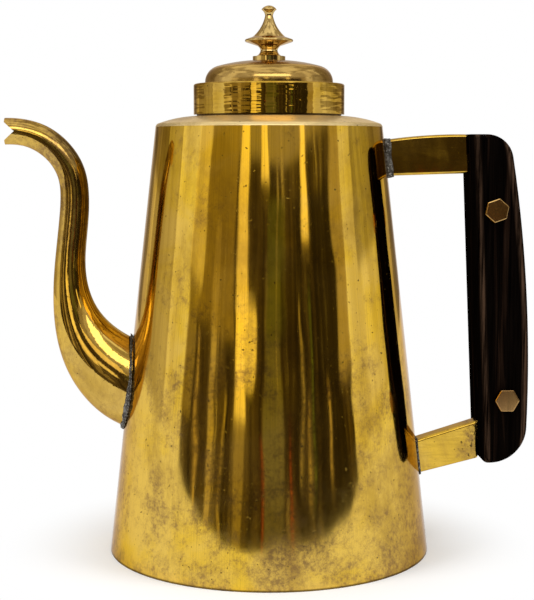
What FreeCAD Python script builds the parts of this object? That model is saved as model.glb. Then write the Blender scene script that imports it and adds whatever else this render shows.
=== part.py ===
import FreeCAD, Part
import math
import os
import types
import Sketcher

# Coffee pot of sheet brass: cone body, swan-neck spout, lift-off lid, wooden grip on two brackets.
# Millimetres. Origin on the base plane at the body's axis, +Z up, spout towards -X, grip towards +X.

# Driving sizes, in millimetres and degrees
SIZES = {
    # Body
    "base_radius": 75.0,
    "top_radius": 52.4,
    "wall_height": 197.5,
    "wall_thick": 1.2,
    "base_thick": 1.5,
    # Shoulder and neck
    "shoulder_rise": 5.0,
    "shoulder_edge_in": 1.0,
    "shoulder_edge_up": 1.5,
    "shoulder_edge_round": 2.2,
    "shoulder_crown_radius": 55.0,
    "shoulder_thick": 1.2,
    "neck_radius": 33.3,
    "neck_thick": 1.2,
    "neck_tail": 3.0,
    # Lid
    "lid_gap": 0.7,
    "lid_clearance": 0.3,
    "lid_seat_gap": 0.2,
    "lid_band_height": 13.9,
    "lid_band_thick": 1.2,
    "lid_band_edge": 0.8,
    "lid_sheet_thick": 1.2,
    "dome_radius": 29.5,
    "dome_rise": 10.7,
    "dome_side": 0.9,
    "dome_corner_radius": 7.5,
    "dome_corner_angle": 74.5,
    "dome_crown_radius": 76.0,
    "finial_seat_radius": 9.0,
    # Finial, heights measured up from its seat
    "finial_foot_radius": 7.5,
    "finial_foot_tall": 2.0,
    "finial_foot_step": 0.8,
    "finial_waist_radius": 3.9,
    "finial_waist_up": 4.9,
    "finial_waist_curve": 3.2,
    "finial_flare_radius": 5.4,
    "finial_flare_up": 6.8,
    "finial_disc_radius": 11.1,
    "finial_rim_inset": 0.5,
    "finial_rim_low": 8.5,
    "finial_rim_high": 9.8,
    "finial_cone_radius": 7.5,
    "finial_cone_up": 10.9,
    "finial_cone_curve": 17.0,
    "finial_tip_radius": 1.8,
    "finial_tip_up": 20.4,
    "finial_ball_radius": 3.5,
    "finial_ball_up": 23.2,
    "finial_ball_curve": 3.6,
    "finial_tall": 25.1,
    "stud_radius": 2.5,
    "stud_tail": 1.0,
    "stud_clearance": 0.15,
    "finial_washer_radius": 5.5,
    "finial_washer_thick": 1.0,
    "finial_nut_flats": 8.0,
    "finial_nut_tall": 4.0,
    # Spout path: lower bend, leaning stem, upper arch and straight lip
    "bend_centre_out": 33.4,
    "bend_centre_up": 128.0,
    "bend_radius": 59.2,
    "stem_lean_angle": 4.6,
    "stem_length": 32.2,
    "arch_radius": 28.4,
    "lip_length": 3.0,
    # Spout sections: angle along the lower bend, height in its plane and width across
    "spout_thick": 1.2,
    "root_angle": 75.0,
    "throat_angle": 57.5,
    "root_tall": 38.3,
    "root_wide": 31.0,
    "belly_angle": 37.6,
    "belly_tall": 32.4,
    "belly_wide": 25.0,
    "elbow_angle": 16.9,
    "elbow_tall": 20.9,
    "elbow_wide": 17.8,
    "stem_tall": 14.4,
    "stem_wide": 13.6,
    "arch_tall": 13.2,
    "arch_wide": 12.8,
    "lip_tall": 12.2,
    "lip_wide": 12.0,
    "notch_depth": 4.6,
    "notch_open": 8.2,
    "spout_solder_wide": 1.7,
    # Brackets
    "arm_thick": 9.5,
    "arm_root_tall": 16.2,
    "arm_end_tall": 18.0,
    "arm_bite": 4.0,
    "upper_arm_root_up": 183.0,
    "upper_arm_crown": 240.0,
    "lower_arm_root_up": 41.5,
    "lower_arm_lift": 0.9,
    "tang_wide": 10.0,
    "tang_shoulder": 8.0,
    "tang_past_bolt": 9.0,
    "tang_clearance": 0.15,
    "upper_solder_long": 3.0,
    "lower_solder_long": 1.1,
    "arm_solder_thick": 0.7,
    # Wooden grip
    "grip_top": 194.2,
    "grip_bottom": 40.7,
    "grip_face_top": 92.3,
    "grip_face_bottom": 99.4,
    "grip_heel_round": 3.3,
    "grip_depth": 21.4,
    "grip_belly_up": 78.0,
    "grip_outer_radius": 640.0,
    "grip_top_round": 12.5,
    "grip_foot_flat": 0.8,
    "grip_half_thick": 14.0,
    "grip_edge_round": 3.0,
    # Grip bolts, washers and nuts
    "upper_bolt_inward": 1.2,
    "upper_bolt_up": 159.4,
    "upper_bolt_angle": 19.0,
    "lower_bolt_outward": 0.4,
    "lower_bolt_up": 71.2,
    "bolt_radius": 3.0,
    "bolt_clearance": 0.2,
    "bolt_flats": 10.0,
    "bolt_head_tall": 4.0,
    "bolt_corner_cut": 0.3,
    "bolt_tail": 1.5,
    "washer_radius": 6.0,
    "washer_thick": 1.6,
    "nut_tall": 5.0,
    "thread_clearance": 0.05,
}


# A size that carries its number and the sheet formula that gives it
class Size:
    def __init__(self, number, formula):
        self.number = number
        self.formula = formula

    def __add__(self, other):
        other = as_size(other)
        return Size(self.number + other.number, f"({self.formula} + {other.formula})")

    def __sub__(self, other):
        other = as_size(other)
        return Size(self.number - other.number, f"({self.formula} - {other.formula})")

    def __mul__(self, other):
        other = as_size(other)
        return Size(self.number * other.number, f"({self.formula} * {other.formula})")

    def __truediv__(self, other):
        other = as_size(other)
        return Size(self.number / other.number, f"({self.formula} / {other.formula})")


def as_size(value):
    if isinstance(value, Size):
        return value
    return Size(float(value), str(float(value)))


def root(size):
    return Size(math.sqrt(size.number), f"sqrt({size.formula})")


def sine(angle):
    return Size(math.sin(math.radians(angle.number)), f"sin({angle.formula} * 1 deg)")


def cosine(angle):
    return Size(math.cos(math.radians(angle.number)), f"cos({angle.formula} * 1 deg)")


def make_sheet(doc):
    sheet = doc.addObject("Spreadsheet::Sheet", "Sizes")
    for row, (name, number) in enumerate(SIZES.items(), start=1):
        sheet.set(f"A{row}", name)
        sheet.set(f"B{row}", str(number))
        sheet.setAlias(f"B{row}", name)
    doc.recompute()
    return sheet


def read_sizes(sheet):
    return types.SimpleNamespace(
        **{name: Size(float(sheet.get(name)), f"Sizes.{name}") for name in SIZES}
    )


doc = FreeCAD.newDocument("coffee_pot")
sheet = make_sheet(doc)
d = read_sizes(sheet)
nodes = {}

# Turns that lay a solid's Z axis along -Y, to the front, and along +Y
FORWARD = FreeCAD.Rotation(FreeCAD.Vector(1, 0, 0), 90)
BACKWARD = FreeCAD.Rotation(FreeCAD.Vector(1, 0, 0), -90)

# Spans of the loft along the spout's upper arch
ARCH_STEPS = 4


# Shared places
SHOULDER_TOP = d.wall_height + d.shoulder_rise
BAND_BOTTOM = SHOULDER_TOP + d.lid_gap
LEDGE_TOP = BAND_BOTTOM + d.lid_band_height
NECK_TOP = LEDGE_TOP - d.lid_sheet_thick - d.lid_seat_gap
FINIAL_SEAT = LEDGE_TOP + d.dome_rise
BAND_INNER = d.neck_radius + d.lid_clearance
BACK_FACE = d.grip_half_thick


def wall_radius(height):
    return d.base_radius - (d.base_radius - d.top_radius) * height / d.wall_height


GRIP_SLOPE = (d.grip_face_bottom - d.grip_face_top) / (d.grip_top - d.grip_bottom)


GRIP_CENTRE = d.grip_face_bottom + d.grip_depth - d.grip_outer_radius


# Inner and outer faces of the grip at a height
def grip_face(height):
    return d.grip_face_top + (d.grip_top - height) * GRIP_SLOPE


def grip_outside(height):
    rise = height - d.grip_belly_up
    return GRIP_CENTRE + root(d.grip_outer_radius * d.grip_outer_radius - rise * rise)


def grip_middle(height):
    return (grip_face(height) + grip_outside(height)) / 2


# Construction helpers
def keep(name, item):
    item.Label = name
    nodes[name] = item
    return item


def bind(item, prop, size):
    size = as_size(size)
    item.setExpression(prop, size.formula)


def new_sketch(body, name, role):
    sketch = body.newObject("Sketcher::SketchObject", name)
    plane = [f for f in body.Origin.OriginFeatures if f.Role == role][0]
    sketch.AttachmentSupport = (plane, [""])
    sketch.MapMode = "FlatFace"
    return sketch


def fix(sketch, kind, geometry, end, size):
    size = as_size(size)
    index = sketch.addConstraint(Sketcher.Constraint(kind, -1, 1, geometry, end, size.number))
    sketch.setExpression(f"Constraints[{index}]", size.formula)


def arc_between(start, end, radius, convex):
    chord = end - start
    side = FreeCAD.Vector(-chord.y, chord.x, 0).normalize()
    if not convex:
        side = side * -1
    reach = math.sqrt(radius * radius - chord.Length * chord.Length / 4)
    centre = (start + end) * 0.5 + side * reach
    first, last = (start, end) if convex else (end, start)
    circle = Part.Circle(centre, FreeCAD.Vector(0, 0, 1), radius)
    angle = [math.atan2(p.y - centre.y, p.x - centre.x) for p in (first, last)]
    if angle[1] < angle[0]:
        angle[1] += 2 * math.pi
    return Part.ArcOfCircle(circle, angle[0], angle[1])


# Closed outline from corners listed anticlockwise; a third and fourth entry
# make the side that leaves a corner an arc, "bulge" or "hollow", of that radius
def outline(sketch, corners):
    points = [FreeCAD.Vector(as_size(c[0]).number, as_size(c[1]).number, 0) for c in corners]
    ends = []
    for i, corner in enumerate(corners):
        start = points[i]
        end = points[(i + 1) % len(points)]
        if len(corner) == 2:
            index = sketch.addGeometry(Part.LineSegment(start, end), False)
            ends.append((index, 1, 2))
            continue
        convex = corner[2] == "bulge"
        index = sketch.addGeometry(arc_between(start, end, corner[3].number, convex), False)
        ends.append((index, 1, 2) if convex else (index, 2, 1))
    followers = ends[1:] + ends[:1]
    for corner, (index, first, last), after in zip(corners, ends, followers):
        sketch.addConstraint(Sketcher.Constraint("Coincident", index, last, after[0], after[1]))
        fix(sketch, "DistanceX", index, first, corner[0])
        fix(sketch, "DistanceY", index, first, corner[1])
        if len(corner) > 2:
            number = sketch.addConstraint(Sketcher.Constraint("Radius", index, corner[3].number))
            sketch.setExpression(f"Constraints[{number}]", corner[3].formula)


def turned(name, corners):
    body = doc.addObject("PartDesign::Body", name)
    sketch = new_sketch(body, f"{name}_profile", "XZ_Plane")
    outline(sketch, corners)
    revolve = body.newObject("PartDesign::Revolution", f"{name}_turn")
    revolve.Profile = sketch
    revolve.ReferenceAxis = (sketch, ["V_Axis"])
    revolve.Angle = 360
    sketch.Visibility = False
    return body


def solid(kind, name, **sizes):
    item = doc.addObject(kind, name)
    for prop, size in sizes.items():
        bind(item, prop, size)
    return item


def place(item, x, y, z, rotation=None):
    if rotation:
        item.Placement = FreeCAD.Placement(FreeCAD.Vector(), rotation)
    for axis, size in zip("xyz", (x, y, z)):
        bind(item, f"Placement.Base.{axis}", size)
    return item


def cut(name, base, tool):
    item = doc.addObject("Part::Cut", name)
    item.Base = base
    item.Tool = tool
    return item


def common(name, base, tool):
    item = doc.addObject("Part::Common", name)
    item.Base = base
    item.Tool = tool
    return item


def fuse(name, base, tool):
    item = doc.addObject("Part::Fuse", name)
    item.Base = base
    item.Tool = tool
    return item


# Cone of the body's outside, grown outwards for solder
def body_cone(name, growth):
    return solid(
        "Part::Cone",
        name,
        Radius1=d.base_radius + growth,
        Radius2=d.top_radius + growth,
        Height=d.wall_height,
    )


# Body shell and base
def make_wall(bore):
    shell = turned(
        "body_shell",
        [
            (d.base_radius - d.wall_thick, 0),
            (d.base_radius, 0),
            (d.top_radius, d.wall_height),
            (d.top_radius - d.wall_thick, d.wall_height),
        ],
    )
    keep("body_wall", cut("body_wall_with_port", shell, bore))


def make_base():
    edge = wall_radius(d.base_thick) - d.wall_thick
    plate = turned(
        "base_disc",
        [
            (0, 0),
            (d.base_radius - d.wall_thick, 0),
            (edge, d.base_thick),
            (0, d.base_thick),
        ],
    )
    keep("base_plate", plate)


# Shoulder ring with a rounded outer edge and a low crown
def make_shoulder():
    low = d.wall_height
    edge_top = low + d.shoulder_edge_up
    ring = turned(
        "shoulder",
        [
            (d.top_radius - d.wall_thick, low),
            (d.top_radius, low, "bulge", d.shoulder_edge_round),
            (d.top_radius - d.shoulder_edge_in, edge_top, "bulge", d.shoulder_crown_radius),
            (d.neck_radius, SHOULDER_TOP),
            (d.neck_radius, SHOULDER_TOP - d.shoulder_thick, "hollow", d.shoulder_crown_radius),
        ],
    )
    keep("shoulder_ring", ring)


def make_neck():
    low = SHOULDER_TOP - d.neck_tail
    inner = d.neck_radius - d.neck_thick
    collar = turned(
        "neck",
        [(inner, low), (d.neck_radius, low), (d.neck_radius, NECK_TOP), (inner, NECK_TOP)],
    )
    keep("neck_collar", collar)


# Lid
def make_lid_band():
    outer = BAND_INNER + d.lid_band_thick
    edge = d.lid_band_edge
    band = turned(
        "band",
        [
            (BAND_INNER, BAND_BOTTOM),
            (outer, BAND_BOTTOM),
            (outer, LEDGE_TOP - edge, "bulge", edge),
            (outer - edge, LEDGE_TOP),
            (BAND_INNER, LEDGE_TOP),
        ],
    )
    keep("lid_band", band)


def make_lid_dome():
    thick = d.lid_sheet_thick
    hole = d.stud_radius + d.stud_clearance
    corner = d.dome_corner_radius
    side_top = LEDGE_TOP + d.dome_side
    corner_x = d.dome_radius - corner
    sweep_x = cosine(d.dome_corner_angle)
    sweep_z = sine(d.dome_corner_angle)
    inner_corner = corner - thick
    dome = turned(
        "dome",
        [
            (hole, FINIAL_SEAT - thick),
            (d.finial_seat_radius, FINIAL_SEAT - thick, "hollow", d.dome_crown_radius - thick),
            (corner_x + inner_corner * sweep_x, side_top + inner_corner * sweep_z, "hollow", inner_corner),
            (d.dome_radius - thick, side_top),
            (d.dome_radius - thick, LEDGE_TOP - thick),
            (BAND_INNER, LEDGE_TOP - thick),
            (BAND_INNER, LEDGE_TOP),
            (d.dome_radius, LEDGE_TOP),
            (d.dome_radius, side_top, "bulge", corner),
            (corner_x + corner * sweep_x, side_top + corner * sweep_z, "bulge", d.dome_crown_radius),
            (d.finial_seat_radius, FINIAL_SEAT),
            (hole, FINIAL_SEAT),
        ],
    )
    keep("lid_dome", dome)


# Turned knob with its threaded stud
def make_finial():
    seat = FINIAL_SEAT
    foot_top = seat + d.finial_foot_tall
    stud_end = seat - d.lid_sheet_thick - d.finial_washer_thick - d.finial_nut_tall - d.stud_tail
    rim = d.finial_disc_radius - d.finial_rim_inset
    half_rim = (d.finial_rim_high - d.finial_rim_low) / 2
    rim_radius = (half_rim * half_rim + d.finial_rim_inset * d.finial_rim_inset) / d.finial_rim_inset / 2
    cap = d.finial_tall - d.finial_ball_up
    cap_radius = (d.finial_ball_radius * d.finial_ball_radius + cap * cap) / cap / 2
    knob = turned(
        "knob",
        [
            (0, stud_end),
            (d.stud_radius, stud_end),
            (d.stud_radius, seat),
            (d.finial_foot_radius, seat),
            (d.finial_foot_radius, foot_top),
            (d.finial_foot_radius - d.finial_foot_step, foot_top, "hollow", d.finial_waist_curve),
            (d.finial_waist_radius, seat + d.finial_waist_up, "hollow", d.finial_waist_curve),
            (d.finial_flare_radius, seat + d.finial_flare_up),
            (rim, seat + d.finial_rim_low, "bulge", rim_radius),
            (rim, seat + d.finial_rim_high),
            (d.finial_cone_radius, seat + d.finial_cone_up, "hollow", d.finial_cone_curve),
            (d.finial_tip_radius, seat + d.finial_tip_up, "hollow", d.finial_ball_curve),
            (d.finial_ball_radius, seat + d.finial_ball_up, "bulge", cap_radius),
            (0, seat + d.finial_tall),
        ],
    )
    keep("finial", knob)


def make_finial_fastening():
    under = FINIAL_SEAT - d.lid_sheet_thick
    low = under - d.finial_washer_thick
    disc = solid(
        "Part::Cylinder", "finial_washer_disc", Radius=d.finial_washer_radius, Height=d.finial_washer_thick
    )
    hole = solid(
        "Part::Cylinder",
        "finial_washer_hole",
        Radius=d.stud_radius + d.stud_clearance,
        Height=d.finial_washer_thick,
    )
    place(disc, 0, 0, low)
    place(hole, 0, 0, low)
    keep("finial_washer", cut("finial_washer_ring", disc, hole))
    block = solid(
        "Part::Prism",
        "finial_nut_block",
        Circumradius=d.finial_nut_flats / math.sqrt(3),
        Height=d.finial_nut_tall,
    )
    bore = solid(
        "Part::Cylinder",
        "finial_nut_bore",
        Radius=d.stud_radius + d.thread_clearance,
        Height=d.finial_nut_tall,
    )
    place(block, 0, 0, low - d.finial_nut_tall)
    place(bore, 0, 0, low - d.finial_nut_tall)
    keep("finial_nut", cut("finial_nut_ring", block, bore))


# Swan-neck spout: ovals along a lower bend, a leaning stem, an upper arch and a straight lip
def bend_stations():
    sections = [
        (d.root_angle, d.root_tall, d.root_wide),
        (d.throat_angle, d.root_tall, d.root_wide),
        (d.belly_angle, d.belly_tall, d.belly_wide),
        (d.elbow_angle, d.elbow_tall, d.elbow_wide),
        (as_size(0) - d.stem_lean_angle, d.stem_tall, d.stem_wide),
    ]
    stations = []
    for turn, tall, wide in sections:
        angle = math.radians(turn.number)
        out = d.bend_centre_out.number + d.bend_radius.number * math.cos(angle)
        up = d.bend_centre_up.number - d.bend_radius.number * math.sin(angle)
        stations.append(((-out, up), math.pi / 2 + angle, (tall.number, wide.number)))
    return stations


def arch_stations(stem_start):
    lean = math.radians(d.stem_lean_angle.number)
    arch = d.arch_radius.number
    length = d.stem_length.number
    centre_x = stem_start[0] + length * math.sin(lean) - arch * math.cos(lean)
    centre_z = stem_start[1] + length * math.cos(lean) + arch * math.sin(lean)
    sweep = math.pi / 2 + lean
    stations = []
    for step in range(ARCH_STEPS + 1):
        share = step / ARCH_STEPS
        angle = sweep * share - lean
        tall = d.arch_tall.number + (d.lip_tall.number - d.arch_tall.number) * share
        wide = d.arch_wide.number + (d.lip_wide.number - d.arch_wide.number) * share
        point = (centre_x + arch * math.cos(angle), centre_z + arch * math.sin(angle))
        stations.append((point, math.pi / 2 + angle, (tall, wide)))
    return stations


def spout_stations():
    stations = bend_stations()
    stations += arch_stations(stations[-1][0])
    (out, up), heading, size = stations[-1]
    stations.append(((out - d.lip_length.number, up), heading, size))
    return stations


# One oval: heading is the path's direction in the XZ plane, from +X towards +Z
def oval(point, heading, tall, wide):
    along = FreeCAD.Vector(math.cos(heading), 0, math.sin(heading))
    across = FreeCAD.Vector(math.sin(heading), 0, -math.cos(heading))
    side = along.cross(across)
    matrix = FreeCAD.Matrix(
        across.x * tall / 2, side.x * wide / 2, along.x, point[0],
        across.y * tall / 2, side.y * wide / 2, along.y, 0,
        across.z * tall / 2, side.z * wide / 2, along.z, point[1],
        0, 0, 0, 1,
    )
    return Part.Wire(Part.makeCircle(1)).transformGeometry(matrix)


# Ovals along the path, grown or shrunk all round, with the lip end run on where asked
def spout_ovals(growth, run_on=0):
    stations = spout_stations()
    if run_on:
        point, heading, size = stations[-1]
        far = (point[0] + run_on * math.cos(heading), point[1] + run_on * math.sin(heading))
        stations.append((far, heading, size))
    return [
        oval(point, heading, tall + 2 * growth, wide + 2 * growth)
        for point, heading, (tall, wide) in stations
    ]


# Hollow loft between two growths of the ovals, closed by a flat ring at each end
def spout_tube(name, outer_growth, inner_growth):
    outer = spout_ovals(outer_growth)
    inner = spout_ovals(inner_growth)
    faces = Part.makeLoft(outer).Faces + Part.makeLoft(inner).Faces
    for end in (0, -1):
        faces.append(Part.makeFace([outer[end], inner[end]], "Part::FaceMakerBullseye"))
    item = doc.addObject("Part::Feature", name)
    item.Shape = Part.makeSolid(Part.makeShell(faces))
    return item


def spout_bore():
    item = doc.addObject("Part::Feature", "spout_bore")
    item.Shape = Part.makeLoft(spout_ovals(-d.spout_thick.number, lip_overrun()), True)
    return item


# V-shaped notch that opens the lip into an upper and a lower point
def lip_notch():
    point = spout_stations()[-1][0]
    wide = d.lip_wide.number
    deep = d.notch_depth.number
    half = d.notch_open.number / 2
    apex = FreeCAD.Vector(point[0] + deep, -wide, point[1])
    slope = half / deep
    reach = deep + lip_overrun()
    low = FreeCAD.Vector(apex.x - reach, -wide, apex.z - reach * slope)
    high = FreeCAD.Vector(apex.x - reach, -wide, apex.z + reach * slope)
    face = Part.Face(Part.makePolygon([apex, low, high, apex]))
    item = doc.addObject("Part::Feature", "lip_notch")
    item.Shape = face.extrude(FreeCAD.Vector(0, 2 * wide, 0))
    return item


# How far cutting shapes run past the lip
def lip_overrun():
    return d.lip_length.number


def make_spout(cone):
    tube = spout_tube("spout_tube", 0, -d.spout_thick.number)
    trimmed = cut("spout_trimmed", tube, cone)
    keep("spout", cut("spout_notched", trimmed, lip_notch()))
    sleeve = spout_tube("spout_solder_sleeve", d.spout_solder_wide.number, 0)
    layer = common("spout_solder_layer", sleeve, body_cone("spout_solder_cone", d.spout_solder_wide))
    keep("spout_solder", cut("spout_solder_bead", layer, cone))
    return spout_bore()


# Brackets: a tapering arm from the wall, shouldered against the grip, with a tang past its bolt
def arm_heights(level):
    if level == "upper":
        return d.upper_arm_root_up, d.grip_top - d.arm_end_tall / 2
    return d.lower_arm_root_up, d.grip_bottom + d.lower_arm_lift + d.arm_end_tall / 2


def bolt_place(level):
    if level == "upper":
        return grip_middle(d.upper_bolt_up) - d.upper_bolt_inward, d.upper_bolt_up
    return grip_middle(d.lower_bolt_up) + d.lower_bolt_outward, d.lower_bolt_up


def bracket_corners(level, gap):
    root_up, end_up = arm_heights(level)
    bolt_out, bolt_up = bolt_place(level)
    start = wall_radius(root_up) - d.arm_bite
    near = bolt_out - d.tang_wide / 2 - gap
    far = bolt_out + d.tang_wide / 2 + gap
    low = end_up - d.arm_end_tall / 2 - gap
    high = end_up + d.arm_end_tall / 2 + gap
    half_root = d.arm_root_tall / 2 + gap
    if level == "upper":
        tang_end = bolt_up - d.tang_past_bolt - gap
        step = high - d.tang_shoulder
        return [
            (start, root_up - half_root),
            (grip_face(low), low),
            (near, low),
            (near, tang_end),
            (far, tang_end),
            (far, step),
            (grip_face(step), step),
            (grip_face(high), high, "bulge", d.upper_arm_crown),
            (start, root_up + half_root),
        ]
    tang_end = bolt_up + d.tang_past_bolt + gap
    step = low + d.tang_shoulder
    return [
        (start, root_up - half_root),
        (grip_face(low), low),
        (grip_face(step), step),
        (far, step),
        (far, tang_end),
        (near, tang_end),
        (near, high),
        (grip_face(high), high),
        (start, root_up + half_root),
    ]


# Mortise for a tang: the bracket's outline inside the grip, with room all round
def mortise_corners(level):
    corners = bracket_corners(level, d.tang_clearance)
    outside = d.grip_face_top - d.tang_wide
    if level == "upper":
        low = corners[2][1]
        step = corners[6][1]
        return [(outside, low)] + corners[2:6] + [(outside, step)]
    high = corners[6][1]
    step = corners[3][1]
    return [(outside, step)] + corners[3:7] + [(outside, high)]


def padded(name, corners, length, midplane, reverse):
    body = doc.addObject("PartDesign::Body", name)
    sketch = new_sketch(body, f"{name}_outline", "XZ_Plane")
    outline(sketch, corners)
    pad = body.newObject("PartDesign::Pad", f"{name}_pad")
    pad.Profile = sketch
    bind(pad, "Length", length)
    pad.Midplane = midplane
    pad.Reversed = reverse
    sketch.Visibility = False
    return body


# Hole along Y, run past both faces of the grip by half its thickness
def bolt_hole(level):
    bolt_out, bolt_up = bolt_place(level)
    thick = d.grip_half_thick * 2
    hole = solid(
        "Part::Cylinder",
        f"{level}_bolt_hole",
        Radius=d.bolt_radius + d.bolt_clearance,
        Height=thick * 2,
    )
    return place(hole, bolt_out, thick, bolt_up, FORWARD)


def make_bracket(level, cone, hole, solder_long):
    bar = padded(f"{level}_bar", bracket_corners(level, as_size(0)), d.arm_thick, True, False)
    trimmed = cut(f"{level}_bar_trimmed", bar, cone)
    keep(f"{level}_bracket", cut(f"{level}_bar_drilled", trimmed, hole))
    thick = d.arm_thick + d.arm_solder_thick * 2
    grown = padded(f"{level}_arm_grown", arm_grown(level), thick, True, False)
    layer = common(f"{level}_solder_layer", grown, body_cone(f"{level}_solder_cone", solder_long))
    around = cut(f"{level}_solder_around", layer, cone)
    keep(f"{level}_bracket_solder", cut(f"{level}_solder_bead", around, bar))


# Arm near the wall, grown by the solder's thickness
def arm_grown(level):
    root_up, end_up = arm_heights(level)
    start = wall_radius(root_up) - d.arm_bite
    grow = d.arm_solder_thick
    low_end = end_up - d.arm_end_tall / 2
    high_end = end_up + d.arm_end_tall / 2
    return [
        (start, root_up - d.arm_root_tall / 2 - grow),
        (grip_face(low_end), low_end - grow),
        (grip_face(high_end), high_end + grow),
        (start, root_up + d.arm_root_tall / 2 + grow),
    ]


# Wooden grip in two scales that clamp the tangs: a tangent arc from the foot's flat to the
# outer curve, another over the top, and a small heel at the inner face
def grip_corners():
    radius = d.grip_outer_radius
    heel = d.grip_heel_round
    heel_z = d.grip_bottom + heel
    steepness = root(GRIP_SLOPE * GRIP_SLOPE + 1)
    heel_x = grip_face(heel_z) + heel * steepness
    low_x = heel_x + d.grip_foot_flat
    run = low_x - GRIP_CENTRE
    drop = d.grip_bottom - d.grip_belly_up
    low_round = (radius * radius - run * run - drop * drop) / (radius + drop) / 2
    low_meet = on_outside(low_x, d.grip_bottom + low_round, low_round)
    high_round = d.grip_top_round
    high_z = d.grip_top - high_round
    rise = high_z - d.grip_belly_up
    high_x = GRIP_CENTRE + root((radius - high_round) * (radius - high_round) - rise * rise)
    high_meet = on_outside(high_x, high_z, high_round)
    return [
        (heel_x, d.grip_bottom),
        (low_x, d.grip_bottom, "bulge", low_round),
        (low_meet[0], low_meet[1], "bulge", radius),
        (high_meet[0], high_meet[1], "bulge", high_round),
        (high_x, d.grip_top),
        (d.grip_face_top, d.grip_top),
        (heel_x - heel / steepness, heel_z - heel * GRIP_SLOPE / steepness, "bulge", heel),
    ]


# Where an inner arc of that centre and radius touches the grip's outer curve
def on_outside(x, z, inner_radius):
    share = inner_radius / (d.grip_outer_radius - inner_radius)
    return x + (x - GRIP_CENTRE) * share, z + (z - d.grip_belly_up) * share


def make_scale(name, reverse, mortises, holes):
    body = padded(f"{name}_block", grip_corners(), d.grip_half_thick, False, reverse)
    doc.recompute()
    pad = body.Tip
    face_y = d.grip_half_thick.number if reverse else -d.grip_half_thick.number
    rim = [
        f"Edge{i}"
        for i, edge in enumerate(pad.Shape.Edges, start=1)
        if all(abs(v.Point.y - face_y) < Part.Precision.confusion() for v in edge.Vertexes)
    ]
    rounding = body.newObject("PartDesign::Fillet", f"{name}_rounding")
    rounding.Base = (pad, rim)
    bind(rounding, "Radius", d.grip_edge_round)
    body.Tip = rounding
    item = body
    for tool in [*mortises.values(), *holes.values()]:
        item = cut(f"{name}_less_{tool.Name}", item, tool)
    keep(name, item)


# Hexagon bolt along Y with its head in front, washer and nut behind
def make_bolt(level, turn):
    bolt_out, bolt_up = bolt_place(level)
    circum = d.bolt_flats / math.sqrt(3)
    crown_radius = circum - d.bolt_corner_cut
    front = as_size(0) - d.grip_half_thick
    spun = FORWARD.multiply(FreeCAD.Rotation(FreeCAD.Vector(0, 0, 1), turn.number))
    block = solid("Part::Prism", f"{level}_head_block", Circumradius=circum, Height=d.bolt_head_tall)
    place(block, bolt_out, front, bolt_up, spun)
    crown = solid(
        "Part::Cone",
        f"{level}_head_crown",
        Radius1=crown_radius + d.bolt_head_tall * math.sqrt(3),
        Radius2=crown_radius,
        Height=d.bolt_head_tall,
    )
    place(crown, bolt_out, front, bolt_up, FORWARD)
    head = common(f"{level}_head", block, crown)
    behind = d.grip_half_thick * 2 + d.washer_thick + d.nut_tall + d.bolt_tail
    shank = solid("Part::Cylinder", f"{level}_shank", Radius=d.bolt_radius, Height=behind)
    place(shank, bolt_out, front, bolt_up, BACKWARD)
    keep(f"{level}_grip_bolt", fuse(f"{level}_bolt_whole", head, shank))
    disc = solid("Part::Cylinder", f"{level}_washer_disc", Radius=d.washer_radius, Height=d.washer_thick)
    hole = solid(
        "Part::Cylinder",
        f"{level}_washer_hole",
        Radius=d.bolt_radius + d.bolt_clearance,
        Height=d.washer_thick,
    )
    place(disc, bolt_out, BACK_FACE, bolt_up, BACKWARD)
    place(hole, bolt_out, BACK_FACE, bolt_up, BACKWARD)
    keep(f"{level}_grip_washer", cut(f"{level}_washer_ring", disc, hole))
    seat = BACK_FACE + d.washer_thick
    hexagon = solid("Part::Prism", f"{level}_nut_block", Circumradius=circum, Height=d.nut_tall)
    bore = solid(
        "Part::Cylinder", f"{level}_nut_bore", Radius=d.bolt_radius + d.thread_clearance, Height=d.nut_tall
    )
    place(hexagon, bolt_out, seat, bolt_up, BACKWARD)
    place(bore, bolt_out, seat, bolt_up, BACKWARD)
    keep(f"{level}_grip_nut", cut(f"{level}_nut_ring", hexagon, bore))


def make_handle(cone):
    holes = {level: bolt_hole(level) for level in ("upper", "lower")}
    room = d.arm_thick + d.tang_clearance * 2
    mortises = {
        level: padded(f"{level}_mortise", mortise_corners(level), room, True, False) for level in holes
    }
    make_bracket("upper", cone, holes["upper"], d.upper_solder_long)
    make_bracket("lower", cone, holes["lower"], d.lower_solder_long)
    make_scale("grip_front", False, mortises, holes)
    make_scale("grip_back", True, mortises, holes)
    make_bolt("upper", d.upper_bolt_angle)
    make_bolt("lower", as_size(0))


def check_document():
    doc.recompute()
    for item in doc.Objects:
        if "Invalid" in item.State or "Error" in item.State:
            raise RuntimeError(f"{item.Label} failed: {item.State}")
    for name, item in nodes.items():
        if item.Shape.isNull() or not item.Shape.isValid():
            raise RuntimeError(f"{name} has no valid shape")


def write_parts():
    os.makedirs("parts", exist_ok=True)
    for name, item in nodes.items():
        item.Shape.exportStep(f"parts/{name}.step")
        box = item.Shape.BoundBox
        print(
            f"{name}: {len(item.Shape.Solids)} solid, {item.Shape.Volume:.0f} mm3, "
            f"X {box.XMin:.1f}..{box.XMax:.1f} Y {box.YMin:.1f}..{box.YMax:.1f} Z {box.ZMin:.1f}..{box.ZMax:.1f}"
        )


body_envelope = body_cone("body_envelope", as_size(0))
spout_port = make_spout(body_envelope)
make_wall(spout_port)
make_base()
make_shoulder()
make_neck()
make_lid_band()
make_lid_dome()
make_finial()
make_finial_fastening()
make_handle(body_envelope)
check_document()
write_parts()
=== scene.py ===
import math
import bmesh
import bpy
from mathutils import Matrix, Vector, noise


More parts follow.
